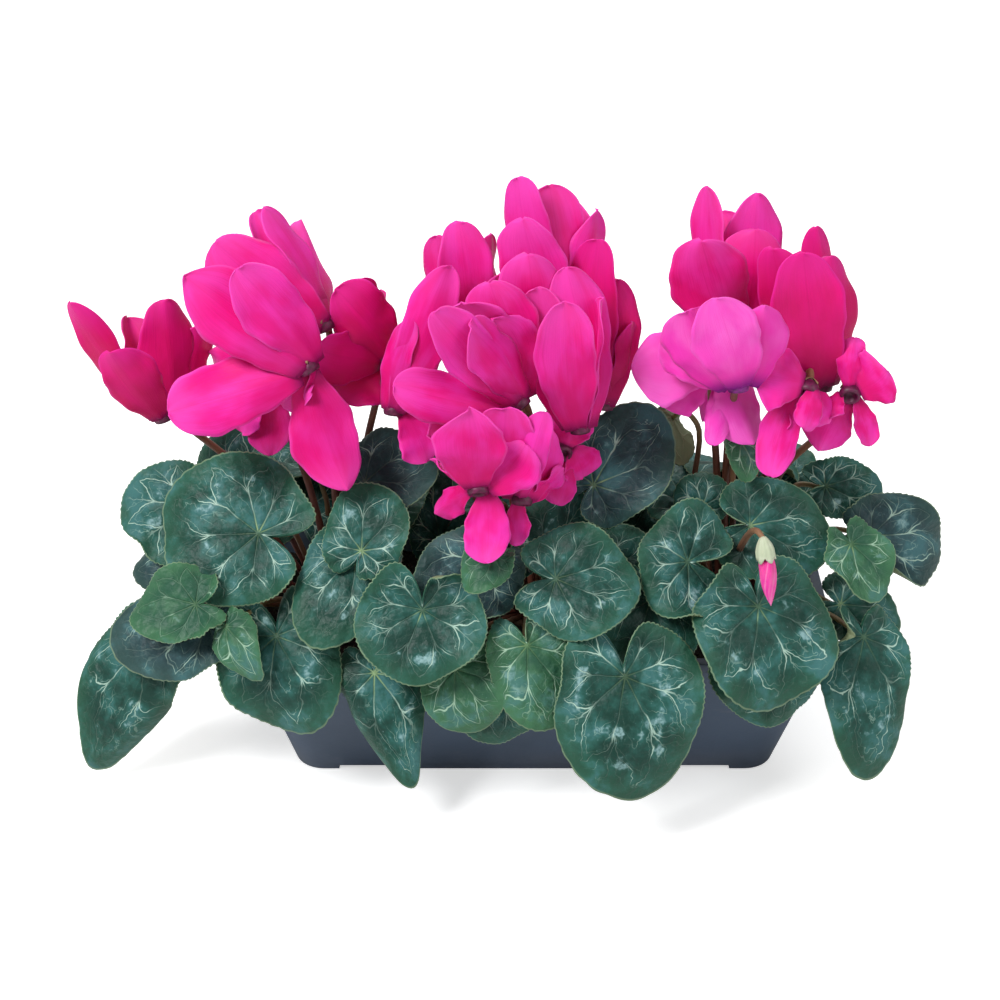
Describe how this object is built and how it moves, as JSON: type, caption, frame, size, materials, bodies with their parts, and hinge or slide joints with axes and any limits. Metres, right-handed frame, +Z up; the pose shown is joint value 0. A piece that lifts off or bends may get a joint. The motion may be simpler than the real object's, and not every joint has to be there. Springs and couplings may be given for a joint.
{
  "type": "potted cyclamen",
  "caption": "Reflexed pink blooms on slender stalks above silver-veined heart-shaped leaves, growing from soil in a tapered rectangular plastic trough.",
  "frame": {"origin": "middle of the trough's underside, on the surface that it stands on", "axes": "+X along the trough's length to the right of the pictured side, -Y towards the viewer, +Z up"},
  "size_m": [0.469, 0.2497, 0.3292],
  "materials": {
    "trough": "matte moulded plastic",
    "soil": "crumbled peat compost",
    "stalk": "smooth fleshy stalk",
    "leaf": "satin leaf with silver veins",
    "petal": "soft silky petal"
  },
  "bodies": {
    "root": {"bud_petals": "petal", "flower_left_front": "petal", "flower_left_outer": "petal", "flower_left_top": "petal", "flower_mid_face": "petal", "flower_mid_left": "petal", "flower_mid_left_top": "petal", "flower_mid_low": "petal", "flower_mid_right": "petal", "flower_mid_top": "petal", "flower_right_open": "petal", "flower_right_pale": "petal", "flower_right_skirt": "petal", "flower_right_tall": "petal", "flower_right_top": "petal", "leaf_left_back": "leaf", "leaf_left_blue": "leaf", "leaf_left_bright": "leaf", "leaf_left_broad": "leaf", "leaf_left_dark": "leaf", "leaf_left_edge": "leaf", "leaf_left_folded": "leaf", "leaf_left_front": "leaf", "leaf_left_heart": "leaf", "leaf_left_lobe": "leaf", "leaf_left_low": "leaf", "leaf_left_slate": "leaf", "leaf_mid_band": "leaf", "leaf_mid_curled": "leaf", "leaf_mid_dark": "leaf", "leaf_mid_draped": "leaf", "leaf_mid_front": "leaf", "leaf_mid_lime": "leaf", "leaf_mid_rear": "leaf", "leaf_mid_round": "leaf", "leaf_mid_slate": "leaf", "leaf_mid_small": "leaf", "leaf_mid_tucked": "leaf", "leaf_mid_under": "leaf", "leaf_mid_veined": "leaf", "leaf_right_back": "leaf", "leaf_right_chip": "leaf", "leaf_right_far": "leaf", "leaf_right_front": "leaf", "leaf_right_low": "leaf", "leaf_right_peep": "leaf", "leaf_right_plate": "leaf", "leaf_right_round": "leaf", "leaf_right_shade": "leaf", "leaf_right_turned": "leaf", "leaf_right_twin": "leaf", "leaf_right_under": "leaf", "leaves_rear_left": "leaf", "leaves_rear_middle": "leaf", "leaves_rear_right": "leaf", "soil": "soil", "stalks_left": "stalk", "stalks_middle": "stalk", "stalks_right": "stalk", "trough": "trough"}
  },
  "joints": []
}
